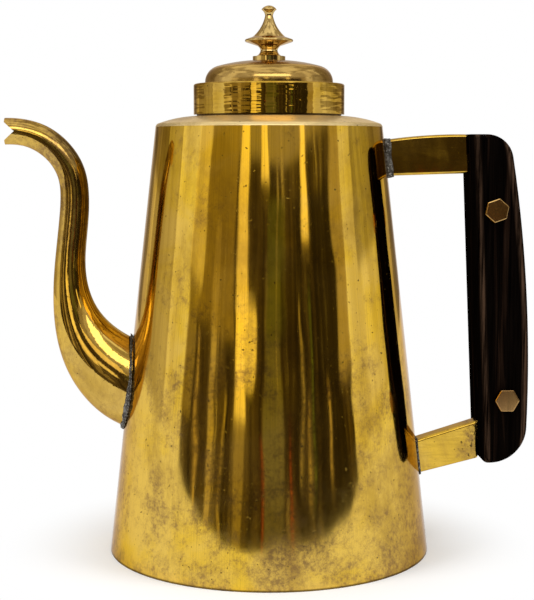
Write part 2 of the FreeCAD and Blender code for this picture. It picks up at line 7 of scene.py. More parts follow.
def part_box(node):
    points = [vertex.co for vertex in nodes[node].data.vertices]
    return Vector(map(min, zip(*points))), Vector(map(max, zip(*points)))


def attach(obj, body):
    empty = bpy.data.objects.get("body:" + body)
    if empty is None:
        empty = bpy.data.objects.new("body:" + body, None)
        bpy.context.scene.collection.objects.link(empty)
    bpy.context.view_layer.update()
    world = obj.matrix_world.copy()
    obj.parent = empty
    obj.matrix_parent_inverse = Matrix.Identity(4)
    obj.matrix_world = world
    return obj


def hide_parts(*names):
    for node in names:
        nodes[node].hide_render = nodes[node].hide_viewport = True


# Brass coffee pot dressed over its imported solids. Metres, base plane at Z 0, spout towards -X.
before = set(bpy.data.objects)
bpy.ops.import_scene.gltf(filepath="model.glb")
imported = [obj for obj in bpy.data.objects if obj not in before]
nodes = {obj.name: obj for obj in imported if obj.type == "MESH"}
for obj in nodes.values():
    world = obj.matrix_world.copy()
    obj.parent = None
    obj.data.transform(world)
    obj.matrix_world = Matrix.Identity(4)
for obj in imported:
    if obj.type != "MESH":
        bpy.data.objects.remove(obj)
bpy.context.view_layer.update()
scene = bpy.context.scene
scene.view_settings.view_transform = "Standard"

# Camera that fits the photograph
EYE = (-0.035136, -0.652555, 0.18665)
PITCH_DOWN = 6.08
TURN_RIGHT = 3.0
LENS = 84.1
SENSOR = 36.0

# Floor, world and lamps. A cloud is a noise: scale, detail, roughness, distortion.
WHITE = (1.0, 1.0, 1.0, 1.0)
FLOOR_FRONT = -0.37
FLOOR_SIDE = 2.5
FLOOR_BACK = 4.0
FLOOR_COLOUR = (0.96, 0.96, 0.955, 1.0)
FLOOR_SHADE = (0.93, 0.93, 0.92, 1.0)
FLOOR_CLOUD = (3.0, 2.0, 0.55, 0.0)
FLOOR_MOTTLE = 0.05
FLOOR_FADE = (0.076, 0.13)
WORLD_LIGHT = 0.8
LAMP_TARGET = (0.0, 0.0, 0.12)
LAMP_SIZE = 0.9
LAMPS = {
    "left_softbox": ((-1.3, -0.7, 1.2), 13.0),
    "right_softbox": ((1.3, -0.6, 1.1), 11.0),
}

# Room that only reflections see: a dim end, lighter walls and a patchy ceiling
ROOM_RADIUS = 1.6
ROOM_LOW = -0.5
ROOM_HIGH = 1.7
ROOM_STEPS = 96
DIM_ANGLES = (-73.0, 66.0)
DIM_HEIGHTS = (-1.0, 0.72)
DIM_DARK = (0.022, 0.016, 0.010, 1.0)
DIM_MIDDLE = (0.11, 0.082, 0.045, 1.0)
DIM_STREAK = (1.25, 1.10, 0.75, 1.0)
STREAK_STRETCH = (8.0, 8.0, 0.6)
STREAK_CLOUD = (1.0, 7.0, 0.75, 0.0)
STREAK_MIDDLE = (0.36, 0.56)
STREAK_BRIGHT = (0.56, 0.68)
WALL_SHADE = (0.68, 0.64, 0.56, 1.0)
WALL_LIGHT = (1.12, 1.1, 1.05, 1.0)
FOLD_STRETCH = (1.3, 1.3, 0.5)
FOLD_CLOUD = (1.0, 3.0, 0.5, 0.0)
FOLD_RANGE = (0.40, 0.60)
CEILING_SHADE = (0.46, 0.41, 0.34, 1.0)
CEILING_LIGHT = (1.1, 1.07, 1.0, 1.0)
CEILING_CLOUD = (1.3, 2.0, 0.55, 0.0)
CEILING_RANGE = (0.44, 0.56)
CARD_SOFT_ANGLE = 0.6
CARD_SOFT_HEIGHT = 0.015
CARD_VEIL = 1.2

# Things in the room: angles from -Y towards +X, heights, colour. A later one covers an earlier one.
ROOM_CARDS = {
    "ceiling_edge": ((-105.0, 105.0), (0.72, 1.8), (0.40, 0.345, 0.28)),
    "front_window": ((-32.0, 38.0), (0.92, 1.5), (3.6, 3.45, 3.1)),
    "high_left_light": ((-88.0, -70.0), (0.72, 1.8), (1.2, 1.16, 1.05)),
    "high_right_light": ((72.0, 86.0), (0.72, 1.8), (1.1, 1.06, 0.96)),
    "high_shelf": ((-73.0, 66.0), (0.54, 0.72), (0.50, 0.43, 0.35)),
    "left_wall_edge": ((-86.0, -74.0), (-1.0, 0.9), (0.92, 0.9, 0.82)),
    "right_wall_edge": ((74.0, 84.0), (-1.0, 0.9), (0.78, 0.74, 0.65)),
    "left_wall_shade": ((-135.0, -96.0), (-1.0, 0.9), (0.34, 0.29, 0.245)),
    "right_wall_shade": ((80.0, 122.0), (0.26, 1.0), (0.24, 0.205, 0.155)),
    "middle_cloth": ((-8.0, 7.0), (-0.30, 0.36), (0.24, 0.23, 0.16)),
    "right_gap": ((36.0, 58.0), (-0.5, 0.45), (0.022, 0.017, 0.011)),
    "left_strip": ((-50.0, -45.0), (-0.1, 0.40), (0.8, 0.68, 0.42)),
    "left_shelf": ((-68.0, -32.0), (0.24, 0.60), (0.40, 0.31, 0.13)),
    "left_post": ((-74.0, -60.0), (0.28, 0.62), (1.05, 0.94, 0.66)),
    "left_post_foot": ((-74.0, -63.0), (0.06, 0.30), (0.38, 0.31, 0.16)),
    "right_cupboard": ((18.0, 56.0), (-0.05, 0.47), (0.030, 0.023, 0.013)),
    "right_lamp": ((27.0, 33.0), (0.38, 0.66), (1.9, 1.6, 0.9)),
    "right_glint": ((26.0, 27.5), (0.0, 0.13), (1.0, 0.8, 0.4)),
    "far_right_glint": ((43.0, 45.0), (0.0, 0.15), (0.8, 0.62, 0.3)),
    "far_left_glint": ((-60.0, -58.5), (-0.2, 0.22), (0.9, 0.7, 0.32)),
    "left_glint": ((-38.5, -37.0), (-0.25, 0.15), (0.6, 0.48, 0.24)),
    "olive_cloth": ((-6.0, 11.0), (0.25, 0.47), (0.13, 0.14, 0.05)),
    "bright_bar": ((-30.0, -22.0), (0.11, 0.62), (1.75, 1.5, 0.85)),
    "high_bar": ((-11.0, -4.0), (0.50, 0.74), (1.7, 1.45, 0.8)),
    "bar_middle": ((-30.0, -15.0), (0.18, 0.30), (1.7, 1.5, 0.9)),
    "bar_foot": ((-29.0, -23.0), (-0.1, 0.10), (0.42, 0.34, 0.17)),
    "left_red_streak": ((-10.0, -8.8), (-0.2, 0.09), (0.50, 0.12, 0.05)),
    "right_pale_streak": ((22.0, 23.2), (0.02, 0.30), (0.8, 0.68, 0.38)),
    "middle_gap": ((8.0, 20.0), (0.02, 0.36), (0.03, 0.022, 0.012)),
    "right_red_streak": ((12.4, 13.4), (-0.15, 0.10), (0.75, 0.15, 0.06)),
    "right_green_streak": ((30.0, 31.0), (0.0, 0.30), (0.25, 0.35, 0.10)),
    "right_post": ((56.0, 66.0), (0.14, 0.60), (0.62, 0.52, 0.34)),
    "back_right_high": ((110.0, 158.0), (0.26, 1.6), (0.18, 0.14, 0.09)),
    "back_left_high": ((-165.0, -118.0), (0.26, 1.5), (0.20, 0.155, 0.10)),
    "back_right_low": ((140.0, 158.0), (-0.4, 0.3), (0.10, 0.085, 0.06)),
    "back_left_low": ((-160.0, -146.0), (-0.4, 0.3), (0.12, 0.10, 0.07)),
}

# Colours of clean brass, linear
BODY_COLOUR = (0.82, 0.52, 0.04)
# The shoulder's brass is paler: a painted highlight
SHOULDER_HIGHLIGHT_COLOUR = (0.95, 0.75, 0.38)
# The collar's brass is darkened: painted shade for the gap under the lid band
COLLAR_SHADED_COLOUR = (0.34, 0.20, 0.06)
LID_COLOUR = (0.62, 0.38, 0.035)
DOME_COLOUR = (0.55, 0.355, 0.10)
SPOUT_COLOUR = (0.72, 0.46, 0.075)
FINIAL_COLOUR = (0.74, 0.53, 0.20)
ARM_COLOUR = (0.74, 0.47, 0.055)
BOLT_COLOUR = (0.46, 0.265, 0.10)
EDGE_TINT = (0.72, 0.61, 0.53, 1.0)
BLACK = (0.0, 0.0, 0.0)

# Brush lines on brass
UPRIGHT_BRUSH = (130.0, 7.0)
TURNED_BRUSH = (3.0, 900.0)
EVEN_BRUSH = (700.0, 700.0, 60.0)
ARM_BRUSH = (60.0, 700.0, 700.0)
LINE_CLOUD = (1.0, 4.0, 0.75, 0.0)
LINE_RANGE = (0.42, 0.72)
LINE_SHADE = 0.74
LINE_ROUGH = 0.03
LINE_DEPTH = 0.000006
LINE_BUMP = 0.5

# Dents in brass: stretch and depth
WAVE_CLOUD = (1.0, 2.0, 0.5, 0.0)
EVEN_WAVES = (34.0, 34.0, 10.0)
HAMMERED = (EVEN_WAVES, 0.0007)
DRAWN = (EVEN_WAVES, 0.0006)
PRESSED = (EVEN_WAVES, 0.0003)
TURNED = (EVEN_WAVES, 0.00005)
SPUN = ((45.0, 45.0, 280.0), 0.00027)

# Pale patina and smoky film on brass
PATINA_TINT = (0.76, 0.54, 0.19)
PATINA_CLOUD = (26.0, 7.0, 0.62, 0.6)
PATINA_RANGE = (0.40, 0.66)
PATINA_SHARE = 0.6
PATINA_COVER = 0.6
PATINA_ROUGH = 0.03
FILM_TINT = (0.26, 0.145, 0.04)
FILM_STRETCH = (24.0, 24.0, 14.0)
FILM_CLOUD = (1.0, 10.0, 0.70, 0.3)
FILM_RANGE = (0.46, 0.66)
FILM_SHARE = 0.7
FILM_COVER = 0.7

# Tarnish on brass. Stains say along which axis, from where to where, and how pitted.
NO_STAIN = (2, -1.0, -2.0, 0.0)
BODY_STAIN = (2, 0.21, 0.0, 0.1)
SPOUT_STAIN = (2, 0.10, 0.17, 0.0)
ARM_STAIN = (0, 0.084, 0.099, 1.1)
STAIN_GAIN = 0.115
BLOT_TINT = (0.21, 0.115, 0.05, 1.0)
BLOT_CLOUD = (44.0, 12.0, 0.80, 0.0)
BLOT_WIDTH = 0.19
BLOT_COVER = 0.80
BLOT_ROUGH = 0.07
BLOT_GRAIN_CLOUD = (480.0, 5.0, 0.7, 0.0)
BLOT_GRAIN_RANGE = (0.36, 0.62)
BLOT_GRAIN_LEAST = 0.38

# Grime and painted shade on brass: dark pits as specks, painted shade in seams between two heights, and
# painted shade on the side that faces the grip
PIT_AND_SHADE_TINT = (0.04, 0.024, 0.012, 1.0)
PIT_AND_SHADE_COVER = 0.8
PIT_AND_SHADE_DEPTH = -0.00003
PIT_AND_SHADE_BUMP = 0.6
PIT_CLOUD = (620.0, 2.0, 0.5, 0.0)
PIT_RANGE = (0.70, 0.76)
# Painted contact shade: a thin dark line along the foot where the pot meets the floor
FOOT_SHADE_BAND = (0.0012, 0.0004)
# Painted shade in the gap under the lid band, low on the collar and on the shoulder's top
NECK_SHADE_BAND = (0.2045, 0.2035)
SHOULDER_SHADE_BAND = (0.2019, 0.2024)
# Painted shade on the side that faces the grip
SHADE_FACING_RANGE = (0.1, 0.8)

# Soft solder
SOLDER_DARK = (0.05, 0.045, 0.04, 1.0)
SOLDER_LIGHT = (0.24, 0.235, 0.23, 1.0)
SOLDER_FLECK = (0.62, 0.61, 0.58, 1.0)
SOLDER_METAL = 0.65
SOLDER_ROUGH = 0.55
SOLDER_DEPTH = 0.0004
SOLDER_BUMP = 0.8
SOLDER_GRAIN_CLOUD = (900.0, 5.0, 0.7, 0.0)
SOLDER_GRAIN_RANGE = (0.35, 0.7)
SOLDER_PATCH_CLOUD = (330.0, 3.0, 0.6, 0.0)
SOLDER_PATCH_RANGE = (0.42, 0.58)
SOLDER_FLECK_CLOUD = (1500.0, 3.0, 0.6, 0.0)
SOLDER_FLECK_RANGE = (0.55, 0.66)
SOLDER_FLECK_COVER = 0.6

# Near-black wood
WOOD_DARK = (0.0006, 0.0004, 0.0004, 1.0)
WOOD_LIGHT = (0.0032, 0.002, 0.0014, 1.0)
WOOD_STREAK = (0.024, 0.012, 0.007, 1.0)
# Painted highlight along the grip's edges
WOOD_EDGE_SHEEN = (0.075, 0.042, 0.025, 1.0)
WOOD_ROUGH = 0.48
FIBRE_STRETCH = (900.0, 900.0, 22.0)
FIBRE_CLOUD = (1.0, 5.0, 0.7, 0.0)
FIBRE_RANGE = (0.3, 0.7)
FIBRE_ROUGH = 0.25
FIBRE_DEPTH = 0.00022
FIBRE_BUMP = 0.6
FIGURE_STRETCH = (190.0, 190.0, 7.0)
FIGURE_CLOUD = (1.0, 4.0, 0.6, 0.8)
FIGURE_RANGE = (0.54, 0.68)
FIGURE_DEPTH = 0.0005
FIGURE_BUMP = 0.5

# Grip edges: the inner face leans, the outside is an arc seen from -Y, and strips along both get a
# painted highlight
GRIP_TILT = 0.04625
GRIP_FACE = 0.10128
GRIP_CENTRE = (-0.5192, 0.0, 0.078)
GRIP_RADIUS = 0.640
SHEEN_RANGE = (0.35, 0.7)
SHEEN_INNER = (0.0016, 0.0036)
SHEEN_OUTER = (0.0012, 0.0032)
SHEEN_SOFT = 0.0009

# Worn edges of the arms, washers and nuts, upper and lower
LEVELS = ("upper", "lower")
WELD_DISTANCE = 1e-6
FLAT_ANGLE = 0.5
SHARP_ANGLE = 28.0
WEAR_STEPS = 3
ARM_WEAR = 0.0013
WASHER_WEAR = 0.0003
NUT_WEAR = 0.0004

# Bolt with a worn hexagon head in front and a threaded tail behind, along +Y
BOLT_CORNER = 0.01 / math.sqrt(3.0)
BOLT_HEAD = 0.004
BOLT_WEAR = 0.00045
BOLT_RADIUS = 0.003
BOLT_SIDES = 40
BOLT_TURNS = {"upper": 19.0, "lower": 0.0}
HEAD_SIDES = 6
HEAD_HALF_SIDE = 30.0
THREAD_PITCH = 0.00045
THREAD_DEPTH = 0.00035
THREAD_COUNT = 4

# Solder beads: piece, mesh grain, lump height, thinning towards the ends, swelling low down
SEAMS = {
    "spout_solder": ("spout_seam", 0.0004, 0.0009, 0.0010, 0.0004),
    "upper_bracket_solder": ("upper_arm_seam", 0.00035, 0.0006, 0.0, 0.0),
    "lower_bracket_solder": ("lower_arm_seam", 0.00035, 0.0003, 0.0001, 0.0),
}
SEAM_THICKEST = 0.28
LUMP_WIDE = 260.0
LUMP_WIDE_SHARE = 0.7
LUMP_FINE = 900.0
LUMP_FINE_SHARE = 0.3

# Sockets of the colour mix: its factor and two colours, and its result
MIX_INPUTS = (0, 6, 7)
MIX_RESULT = 2


# Node helpers
def add(tree, kind, inputs=None, **settings):
    node = tree.nodes.new(kind)
    for name, value in settings.items():
        setattr(node, name, value)
    for name, value in (inputs or {}).items():
        if isinstance(value, bpy.types.NodeSocket):
            tree.links.new(value, node.inputs[name])
        else:
            node.inputs[name].default_value = value
    return node


def math_node(tree, operation, first, second=0.0, third=0.0):
    inputs = {0: first, 1: second, 2: third}
    return add(tree, "ShaderNodeMath", inputs, operation=operation).outputs[0]


def ramp(tree, factor, limits):
    inputs = {"Value": factor, "From Min": limits[0], "From Max": limits[1]}
    return add(tree, "ShaderNodeMapRange", inputs, interpolation_type="SMOOTHSTEP").outputs[0]


def mix_colour(tree, factor, first, second):
    inputs = dict(zip(MIX_INPUTS, (factor, first, second)))
    return add(tree, "ShaderNodeMix", inputs, data_type="RGBA").outputs[MIX_RESULT]


def cloud(tree, vector, form):
    inputs = dict(zip(("Scale", "Detail", "Roughness", "Distortion"), form))
    return add(tree, "ShaderNodeTexNoise", {"Vector": vector, **inputs}).outputs[0]


def bumped(tree, height, distance, strength=1.0, below=None):
    inputs = {"Height": height, "Distance": distance, "Strength": strength}
    if below is not None:
        inputs["Normal"] = below
    return add(tree, "ShaderNodeBump", inputs).outputs[0]


def new_material(name):
    material = bpy.data.materials.new(name)
    material.use_nodes = True
    tree = material.node_tree
    tree.nodes.clear()
    output = add(tree, "ShaderNodeOutputMaterial")
    return material, tree, output


def finish_with(tree, kind, inputs, output):
    shader = add(tree, kind, inputs)
    tree.links.new(shader.outputs[0], output.inputs[0])


# Places on the object: plain, split, stretched, and unrolled round the Z axis for brush lines
def object_place(tree):
    return add(tree, "ShaderNodeTexCoord").outputs["Object"]


def split(tree, place):
    return add(tree, "ShaderNodeSeparateXYZ", {0: place}).outputs


def stretched(tree, place, scale):
    return add(tree, "ShaderNodeMapping", {"Vector": place, "Scale": scale}).outputs[0]


def unrolled(tree, place, around, along):
    parts = split(tree, place)
    angle = math_node(tree, "ARCTAN2", parts[1], parts[0])
    wide = math_node(tree, "MULTIPLY", angle, around)
    tall = math_node(tree, "MULTIPLY", parts[2], along)
    return add(tree, "ShaderNodeCombineXYZ", {0: wide, 1: 0.0, 2: tall}).outputs[0]


# Painted shade: one where the surface faces the grip
def shade_facing_grip(tree):
    normal = add(tree, "ShaderNodeTexCoord").outputs["Normal"]
    return ramp(tree, split(tree, normal)[0], SHADE_FACING_RANGE)


# One where a value lies between two limits, with soft ends
def between(tree, value, limits, soft):
    rising = ramp(tree, value, (limits[0] - soft, limits[0] + soft))
    falling = ramp(tree, value, (limits[1] + soft, limits[1] - soft))
    return math_node(tree, "MULTIPLY", rising, falling)


# Two colours mixed by a plain share
def between_colours(first, second, share):
    return tuple(a + (b - a) * share for a, b in zip(first, second)) + (1.0,)


# Directions of brush lines
def upright_brush(tree, place):
    return unrolled(tree, place, *UPRIGHT_BRUSH)


def turned_brush(tree, place):
    return unrolled(tree, place, *TURNED_BRUSH)


def even_brush(tree, place):
    return stretched(tree, place, EVEN_BRUSH)


def arm_brush(tree, place):
    return stretched(tree, place, ARM_BRUSH)


# Grainy tarnish that grows where the brass is stained
def tarnish(tree, place, stained, start):
    mottle = math_node(tree, "ADD", cloud(tree, place, BLOT_CLOUD), stained)
    blot = ramp(tree, mottle, (start, start + BLOT_WIDTH))
    speckle = ramp(tree, cloud(tree, place, BLOT_GRAIN_CLOUD), BLOT_GRAIN_RANGE)
    grain = math_node(tree, "MULTIPLY_ADD", speckle, 1.0 - BLOT_GRAIN_LEAST, BLOT_GRAIN_LEAST)
    return math_node(tree, "MULTIPLY", blot, grain)


# What lies on the brass, each from zero to one; the pits layer also holds painted shade
def brass_layers(tree, place, brush, tarnish_from, stain, shade_band, side_shade):
    axis, start, end, pitted = stain
    parts = split(tree, place)
    reached = ramp(tree, parts[axis], (start, end))
    stained = math_node(tree, "MULTIPLY", reached, STAIN_GAIN)
    haze = math_node(tree, "ADD", cloud(tree, place, PATINA_CLOUD), stained)
    smoke = cloud(tree, stretched(tree, place, FILM_STRETCH), FILM_CLOUD)
    pits = math_node(tree, "MULTIPLY_ADD", stained, pitted, cloud(tree, place, PIT_CLOUD))
    # Dark pits, and painted shade in a band of heights
    pits_and_shade = math_node(tree, "MAXIMUM", ramp(tree, pits, PIT_RANGE), ramp(tree, parts[2], shade_band))
    # Painted shade on the side that faces the grip, where the stain has reached
    side_shade_reach = math_node(tree, "MULTIPLY", reached, side_shade)
    painted_side_shade = math_node(tree, "MULTIPLY", shade_facing_grip(tree), side_shade_reach)
    return {
        "lines": cloud(tree, brush(tree, place), LINE_CLOUD),
        "patina": ramp(tree, haze, PATINA_RANGE),
        "film": ramp(tree, smoke, FILM_RANGE),
        "blot": tarnish(tree, place, stained, tarnish_from),
        "pits_and_shade": math_node(tree, "MAXIMUM", pits_and_shade, painted_side_shade),
    }


def brass_colour(tree, layers, clean):
    deep = between_colours(BLACK, clean, LINE_SHADE)
    colour = mix_colour(tree, ramp(tree, layers["lines"], LINE_RANGE), (*clean, 1.0), deep)
    covers = {
        "patina": (PATINA_COVER, between_colours(clean, PATINA_TINT, PATINA_SHARE)),
        "film": (FILM_COVER, between_colours(clean, FILM_TINT, FILM_SHARE)),
        "blot": (BLOT_COVER, BLOT_TINT),
        # Dark pits and painted shade
        "pits_and_shade": (PIT_AND_SHADE_COVER, PIT_AND_SHADE_TINT),
    }
    for layer, (cover, tint) in covers.items():
        covered = math_node(tree, "MULTIPLY", layers[layer], cover)
        colour = mix_colour(tree, covered, colour, tint)
    return colour


def brass_rough(tree, layers, shine):
    rough = math_node(tree, "MULTIPLY_ADD", layers["patina"], PATINA_ROUGH, shine)
    rough = math_node(tree, "MULTIPLY_ADD", layers["lines"], LINE_ROUGH, rough)
    return math_node(tree, "MULTIPLY_ADD", layers["blot"], BLOT_ROUGH, rough)


def brass_normal(tree, place, layers, waves):
    stretch, depth = waves
    normal = bumped(tree, cloud(tree, stretched(tree, place, stretch), WAVE_CLOUD), depth)
    normal = bumped(tree, layers["lines"], LINE_DEPTH, LINE_BUMP, normal)
    return bumped(tree, layers["pits_and_shade"], PIT_AND_SHADE_DEPTH, PIT_AND_SHADE_BUMP, normal)


# Worn brass: brush lines, dents, patina, film, tarnish, grime pits, and painted shade in bands and on
# the side that faces the grip
def brass(
    name,
    clean,
    shine,
    tarnish_from,
    brush,
    waves,
    stain=NO_STAIN,
    shade_band=FOOT_SHADE_BAND,
    metal=1.0,
    side_shade=0.0,
):
    material, tree, output = new_material(name)
    place = object_place(tree)
    layers = brass_layers(tree, place, brush, tarnish_from, stain, shade_band, side_shade)
    inputs = {
        "Base Color": brass_colour(tree, layers, clean),
        "Metallic": metal,
        "Roughness": brass_rough(tree, layers, shine),
        "Normal": brass_normal(tree, place, layers, waves),
        "Specular Tint": EDGE_TINT,
    }
    finish_with(tree, "ShaderNodeBsdfPrincipled", inputs, output)
    return material


# Soft solder: dull grey, pitted and speckled
def solder(name):
    material, tree, output = new_material(name)
    place = object_place(tree)
    grain = cloud(tree, place, SOLDER_GRAIN_CLOUD)
    patch = ramp(tree, cloud(tree, place, SOLDER_PATCH_CLOUD), SOLDER_PATCH_RANGE)
    light = math_node(tree, "MULTIPLY", ramp(tree, grain, SOLDER_GRAIN_RANGE), patch)
    colour = mix_colour(tree, light, SOLDER_DARK, SOLDER_LIGHT)
    fleck = ramp(tree, cloud(tree, place, SOLDER_FLECK_CLOUD), SOLDER_FLECK_RANGE)
    flecked = math_node(tree, "MULTIPLY", fleck, SOLDER_FLECK_COVER)
    inputs = {
        "Base Color": mix_colour(tree, flecked, colour, SOLDER_FLECK),
        "Metallic": SOLDER_METAL,
        "Roughness": SOLDER_ROUGH,
        "Normal": bumped(tree, grain, SOLDER_DEPTH, SOLDER_BUMP),
    }
    finish_with(tree, "ShaderNodeBsdfPrincipled", inputs, output)
    return material


# Painted highlight: lighter strips along the grip's straight inner edge and its curved outer edge
def edge_sheen(tree, place):
    parts = split(tree, place)
    face = math_node(tree, "MULTIPLY", parts[2], GRIP_TILT)
    inward = math_node(tree, "SUBTRACT", math_node(tree, "ADD", parts[0], face), GRIP_FACE)
    level = add(tree, "ShaderNodeCombineXYZ", {0: parts[0], 1: 0.0, 2: parts[2]}).outputs[0]
    reach = add(tree, "ShaderNodeVectorMath", {0: level, 1: GRIP_CENTRE}, operation="DISTANCE")
    outward = math_node(tree, "SUBTRACT", GRIP_RADIUS, reach.outputs["Value"])
    inner = between(tree, inward, SHEEN_INNER, SHEEN_SOFT)
    outer = between(tree, outward, SHEEN_OUTER, SHEEN_SOFT)
    return math_node(tree, "MAXIMUM", inner, outer)


# Near-black wood with grain along Z and a painted highlight along its edges
def dark_wood(name):
    material, tree, output = new_material(name)
    place = object_place(tree)
    fibre = cloud(tree, stretched(tree, place, FIBRE_STRETCH), FIBRE_CLOUD)
    figure = cloud(tree, stretched(tree, place, FIGURE_STRETCH), FIGURE_CLOUD)
    colour = mix_colour(tree, ramp(tree, fibre, FIBRE_RANGE), WOOD_DARK, WOOD_LIGHT)
    streak = math_node(tree, "MULTIPLY", ramp(tree, figure, FIGURE_RANGE), fibre)
    colour = mix_colour(tree, streak, colour, WOOD_STREAK)
    # Painted highlight strips along the edges
    sheen = math_node(tree, "MULTIPLY", edge_sheen(tree, place), ramp(tree, fibre, SHEEN_RANGE))
    normal = bumped(tree, fibre, FIBRE_DEPTH, FIBRE_BUMP)
    inputs = {
        "Base Color": mix_colour(tree, sheen, colour, WOOD_EDGE_SHEEN),
        "Roughness": math_node(tree, "MULTIPLY_ADD", fibre, FIBRE_ROUGH, WOOD_ROUGH),
        "Normal": bumped(tree, figure, FIGURE_DEPTH, FIGURE_BUMP, normal),
        "Specular IOR Level": 0.0,
    }
    finish_with(tree, "ShaderNodeBsdfPrincipled", inputs, output)
    return material


body_brass = brass(
    "body_brass",
    BODY_COLOUR,
    shine=0.03,
    tarnish_from=0.525,
    brush=upright_brush,
    waves=HAMMERED,
    stain=BODY_STAIN,
)
# Pale, less metallic shoulder brass: a painted highlight
shoulder_highlight_brass = brass(
    "shoulder_highlight_brass",
    SHOULDER_HIGHLIGHT_COLOUR,
    shine=0.28,
    tarnish_from=0.58,
    brush=turned_brush,
    waves=PRESSED,
    shade_band=SHOULDER_SHADE_BAND,
    metal=0.8,
)
# Darkened collar brass with painted shade low down: the gap under the lid band
collar_shaded_brass = brass(
    "collar_shaded_brass",
    COLLAR_SHADED_COLOUR,
    shine=0.25,
    tarnish_from=0.46,
    brush=turned_brush,
    waves=PRESSED,
    shade_band=NECK_SHADE_BAND,
)
lid_brass = brass(
    "lid_brass",
    LID_COLOUR,
    shine=0.02,
    tarnish_from=0.58,
    brush=turned_brush,
    waves=SPUN,
)
dome_brass = brass(
    "dome_brass",
    DOME_COLOUR,
    shine=0.12,
    tarnish_from=0.60,
    brush=turned_brush,
    waves=PRESSED,
)
spout_brass = brass(
    "spout_brass",
    SPOUT_COLOUR,
    shine=0.02,
    tarnish_from=0.48,
    brush=even_brush,
    waves=DRAWN,
    stain=SPOUT_STAIN,
    # Painted shade on the spout's upper side that faces the body and the grip
    side_shade=0.85,
)
finial_brass = brass(
    "finial_brass",
    FINIAL_COLOUR,
    shine=0.04,
    tarnish_from=0.74,
    brush=turned_brush,
    waves=TURNED,
)
arm_brass = brass(
    "arm_brass",
    ARM_COLOUR,
    shine=0.05,
    tarnish_from=0.54,
    brush=arm_brush,
    waves=DRAWN,
    stain=ARM_STAIN,
)
bolt_brass = brass(
    "bolt_brass",
    BOLT_COLOUR,
    shine=0.14,
    tarnish_from=0.50,
    brush=even_brush,
    waves=PRESSED,
)
grey_solder = solder("grey_solder")
wood = dark_wood("dark_wood")

LOOKS = {
    "body_wall": body_brass,
    "base_plate": body_brass,
    "shoulder_ring": shoulder_highlight_brass,
    "neck_collar": collar_shaded_brass,
    "spout": spout_brass,
    "lid_band": lid_brass,
    "lid_dome": dome_brass,
    "finial": finial_brass,
    "finial_washer": bolt_brass,
    "finial_nut": bolt_brass,
    "grip_front": wood,
    "grip_back": wood,
}


def paint(thing, material):
    thing.data.materials.clear()
    thing.data.materials.append(material)


for node_name, look in LOOKS.items():
    paint(nodes[node_name], look)


def linked(name, data):
    thing = bpy.data.objects.new(name, data)
    scene.collection.objects.link(thing)
    return thing


# Pieces that stand for a node: a welded copy of its mesh, worked further
def copied(node_name, piece_name):
    mesh = nodes[node_name].data.copy()
    mesh.name = piece_name
    form = bmesh.new()
    form.from_mesh(mesh)
    bmesh.ops.remove_doubles(form, verts=form.verts, dist=WELD_DISTANCE)
    flat = math.radians(FLAT_ANGLE)
    bmesh.ops.dissolve_limit(form, angle_limit=flat, verts=form.verts, edges=form.edges)
    form.to_mesh(mesh)
    form.free()
    return linked(piece_name, mesh)


def stand_for(piece, node_name, body, material):
    paint(piece, material)
    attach(piece, body)
    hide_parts(node_name)


def smooth_faces(mesh):
    for face in mesh.polygons:
        face.use_smooth = True


# Copy with its sharp edges worn round
def softened(node_name, piece_name, width, material):
    piece = copied(node_name, piece_name)
    bevel = piece.modifiers.new("worn_edges", "BEVEL")
    bevel.width = width
    bevel.segments = WEAR_STEPS
    bevel.limit_method = "ANGLE"
    bevel.angle_limit = math.radians(SHARP_ANGLE)
    bevel.use_clamp_overlap = False
    stand_for(piece, node_name, "pot", material)
    smooth_faces(piece.data)
    smooth = piece.modifiers.new("flat_faces", "WEIGHTED_NORMAL")
    smooth.keep_sharp = False


def hexagon_head(form, centre, turn):
    upright = Matrix.Rotation(math.radians(90.0), 4, "X")
    spin = Matrix.Rotation(math.radians(turn + HEAD_HALF_SIDE), 4, "Z")
    bmesh.ops.create_cone(
        form,
        cap_ends=True,
        segments=HEAD_SIDES,
        radius1=BOLT_CORNER,
        radius2=BOLT_CORNER,
        depth=BOLT_HEAD,
        matrix=Matrix.Translation(centre) @ upright @ spin,
    )
    bmesh.ops.bevel(
        form,
        geom=form.edges[:],
        offset=BOLT_WEAR,
        offset_type="OFFSET",
        segments=WEAR_STEPS,
        profile=0.5,
        affect="EDGES",
    )


def circle(steps):
    return [2.0 * math.pi * step / steps for step in range(steps)]


def turned_ring(form, centre, radius, along):
    return [
        form.verts.new((centre.x + radius * math.cos(turn), along, centre.z + radius * math.sin(turn)))
        for turn in circle(BOLT_SIDES)
    ]


def threaded_shank(form, centre, end):
    outline = [(BOLT_RADIUS, centre.y)]
    for count in range(THREAD_COUNT, 0, -1):
        crest = end - count * THREAD_PITCH
        outline.append((BOLT_RADIUS, crest))
        outline.append((BOLT_RADIUS - THREAD_DEPTH, crest + THREAD_PITCH / 2.0))
    outline.append((BOLT_RADIUS - THREAD_DEPTH, end))
    rings = [turned_ring(form, centre, radius, along) for radius, along in outline]
    for first, second in zip(rings, rings[1:]):
        for step in range(BOLT_SIDES):
            after = (step + 1) % BOLT_SIDES
            form.faces.new((first[step], first[after], second[after], second[step]))
    form.faces.new(rings[0])
    form.faces.new(rings[-1])


def worn_bolt(level):
    node_name = f"{level}_grip_bolt"
    low, high = (Vector(corner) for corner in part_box(node_name))
    centre = (low + high) / 2.0
    centre.y = low.y + BOLT_HEAD / 2.0
    form = bmesh.new()
    hexagon_head(form, centre, BOLT_TURNS[level])
    threaded_shank(form, centre, high.y)
    bmesh.ops.recalc_face_normals(form, faces=form.faces)
    mesh = bpy.data.meshes.new(f"{level}_bolt")
    form.to_mesh(mesh)
    form.free()
    piece = linked(f"{level}_bolt", mesh)
    stand_for(piece, node_name, "pot", bolt_brass)


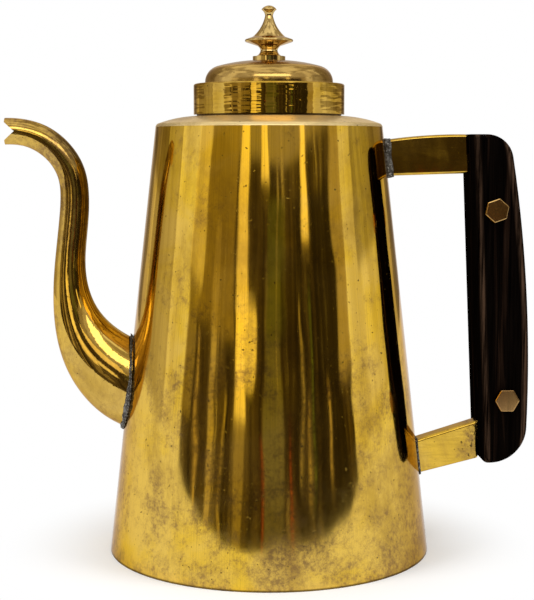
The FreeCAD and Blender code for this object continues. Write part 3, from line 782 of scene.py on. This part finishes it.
def evenly_meshed(piece, grain):
    remesh = piece.modifiers.new("even", "REMESH")
    remesh.mode = "VOXEL"
    remesh.voxel_size = grain
    depsgraph = bpy.context.evaluated_depsgraph_get()
    mesh = bpy.data.meshes.new_from_object(piece.evaluated_get(depsgraph))
    piece.modifiers.clear()
    piece.data = mesh
    return mesh


# Copy of a solder bead, made lumpy by a fixed noise, thickest low down and thin at its ends
def lumpy(node_name, piece_name, grain, lump, trim, swell):
    piece = copied(node_name, piece_name)
    foot, top = (corner[2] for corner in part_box(node_name))
    mesh = evenly_meshed(piece, grain)
    normals = [vertex.normal.copy() for vertex in mesh.vertices]
    for vertex, normal in zip(mesh.vertices, normals):
        wide = noise.noise(vertex.co * LUMP_WIDE)
        fine = noise.noise(vertex.co * LUMP_FINE)
        rise = (vertex.co.z - foot) / (top - foot)
        off = rise - SEAM_THICKEST
        growth = swell * max(0.0, 1.0 - (off / SEAM_THICKEST) ** 2) - trim * abs(off)
        vertex.co += normal * (lump * (LUMP_WIDE_SHARE * wide + LUMP_FINE_SHARE * fine) + growth)
    smooth_faces(mesh)
    stand_for(piece, node_name, "pot", grey_solder)


for level in LEVELS:
    softened(f"{level}_bracket", f"{level}_arm", ARM_WEAR, arm_brass)
for level in LEVELS:
    worn_bolt(level)
    softened(f"{level}_grip_washer", f"{level}_washer", WASHER_WEAR, bolt_brass)
    softened(f"{level}_grip_nut", f"{level}_nut", NUT_WEAR, bolt_brass)
for node_name, seam in SEAMS.items():
    lumpy(node_name, *seam)


# Studio: pale floor, white surround, and a room that only reflections see
def flat_mesh(name, corners, faces, material):
    mesh = bpy.data.meshes.new(name)
    mesh.from_pydata(corners, [], faces)
    thing = linked(name, mesh)
    paint(thing, material)
    return thing


def seen_directly(tree):
    path = add(tree, "ShaderNodeLightPath").outputs
    seen = math_node(tree, "MAXIMUM", path["Is Camera Ray"], path["Is Glossy Ray"])
    return math_node(tree, "MAXIMUM", seen, path["Is Transmission Ray"])


# Pale floor that keeps its shadow near the object and fades into the white surround
def floor_look():
    material, tree, output = new_material("floor")
    place = object_place(tree)
    shade = math_node(tree, "MULTIPLY", cloud(tree, place, FLOOR_CLOUD), FLOOR_MOTTLE)
    colour = mix_colour(tree, shade, FLOOR_COLOUR, FLOOR_SHADE)
    paper = add(tree, "ShaderNodeBsdfDiffuse", {"Color": colour})
    white = add(tree, "ShaderNodeEmission", {"Color": WHITE, "Strength": 1.0})
    away = add(tree, "ShaderNodeVectorMath", {0: place}, operation="LENGTH").outputs["Value"]
    fade = math_node(tree, "MULTIPLY", ramp(tree, away, FLOOR_FADE), seen_directly(tree))
    inputs = {0: fade, 1: paper.outputs[0], 2: white.outputs[0]}
    finish_with(tree, "ShaderNodeMixShader", inputs, output)
    return material


def in_patch(tree, angle, angles, height, heights):
    across = between(tree, angle, angles, CARD_SOFT_ANGLE)
    return math_node(tree, "MULTIPLY", across, between(tree, height, heights, CARD_SOFT_HEIGHT))


def wall_angle(tree, parts):
    ahead = math_node(tree, "MULTIPLY", parts[1], -1.0)
    return math_node(tree, "DEGREES", math_node(tree, "ARCTAN2", parts[0], ahead))


def room_look():
    material, tree, output = new_material("room")
    place = object_place(tree)
    parts = split(tree, place)
    angle = wall_angle(tree, parts)
    streaks = cloud(tree, stretched(tree, place, STREAK_STRETCH), STREAK_CLOUD)
    dim = mix_colour(tree, ramp(tree, streaks, STREAK_MIDDLE), DIM_DARK, DIM_MIDDLE)
    dim = mix_colour(tree, ramp(tree, streaks, STREAK_BRIGHT), dim, DIM_STREAK)
    folds = cloud(tree, stretched(tree, place, FOLD_STRETCH), FOLD_CLOUD)
    wall = mix_colour(tree, ramp(tree, folds, FOLD_RANGE), WALL_SHADE, WALL_LIGHT)
    colour = mix_colour(tree, in_patch(tree, angle, DIM_ANGLES, parts[2], DIM_HEIGHTS), wall, dim)
    veil = math_node(tree, "SUBTRACT", CARD_VEIL, streaks)
    for angles, heights, card in ROOM_CARDS.values():
        inside = in_patch(tree, angle, angles, parts[2], heights)
        veiled = math_node(tree, "MULTIPLY", inside, veil)
        colour = mix_colour(tree, veiled, colour, (*card, 1.0))
    finish_with(tree, "ShaderNodeEmission", {"Color": colour, "Strength": 1.0}, output)
    return material


def only_in_reflections(thing):
    thing.visible_camera = False
    thing.visible_diffuse = False
    thing.visible_shadow = False
    thing.visible_transmission = False


def ring_points(height):
    return [
        (ROOM_RADIUS * math.cos(turn), ROOM_RADIUS * math.sin(turn), height)
        for turn in circle(ROOM_STEPS)
    ]


def room_wall(material):
    faces = []
    for step in range(ROOM_STEPS):
        after = (step + 1) % ROOM_STEPS
        faces.append((step, after, ROOM_STEPS + after, ROOM_STEPS + step))
    corners = ring_points(ROOM_LOW) + ring_points(ROOM_HIGH)
    only_in_reflections(flat_mesh("room_wall", corners, faces, material))


def ceiling_look():
    material, tree, output = new_material("ceiling")
    patches = ramp(tree, cloud(tree, object_place(tree), CEILING_CLOUD), CEILING_RANGE)
    colour = mix_colour(tree, patches, CEILING_SHADE, CEILING_LIGHT)
    finish_with(tree, "ShaderNodeEmission", {"Color": colour, "Strength": 1.0}, output)
    return material


def ceiling(material):
    face = tuple(range(ROOM_STEPS))
    only_in_reflections(flat_mesh("ceiling", ring_points(ROOM_HIGH), [face], material))


def build_studio():
    floor_corners = [
        (-FLOOR_SIDE, FLOOR_FRONT, 0.0),
        (FLOOR_SIDE, FLOOR_FRONT, 0.0),
        (FLOOR_SIDE, FLOOR_BACK, 0.0),
        (-FLOOR_SIDE, FLOOR_BACK, 0.0),
    ]
    flat_mesh("floor", floor_corners, [(0, 1, 2, 3)], floor_look())
    room_wall(room_look())
    ceiling(ceiling_look())


def build_world():
    world = bpy.data.worlds.new("studio")
    world.use_nodes = True
    scene.world = world
    tree = world.node_tree
    tree.nodes.clear()
    output = add(tree, "ShaderNodeOutputWorld")
    strength = math_node(tree, "MULTIPLY_ADD", seen_directly(tree), 1.0 - WORLD_LIGHT, WORLD_LIGHT)
    finish_with(tree, "ShaderNodeBackground", {"Color": WHITE, "Strength": strength}, output)


def soft_lamp(name, place, power):
    data = bpy.data.lights.new(name, "AREA")
    data.shape = "DISK"
    data.size = LAMP_SIZE
    data.energy = power
    lamp = linked(name, data)
    lamp.visible_glossy = False
    lamp.location = place
    aim = Vector(LAMP_TARGET) - Vector(place)
    lamp.rotation_euler = aim.to_track_quat("-Z", "Y").to_euler()


def build_camera():
    data = bpy.data.cameras.new("camera")
    data.lens = LENS
    data.sensor_width = SENSOR
    camera = linked("camera", data)
    camera.location = EYE
    camera.rotation_euler = (math.radians(90.0 - PITCH_DOWN), 0.0, math.radians(-TURN_RIGHT))
    scene.camera = camera


build_studio()
build_world()
for lamp_name, (lamp_place, lamp_power) in LAMPS.items():
    soft_lamp(lamp_name, lamp_place, lamp_power)
build_camera()
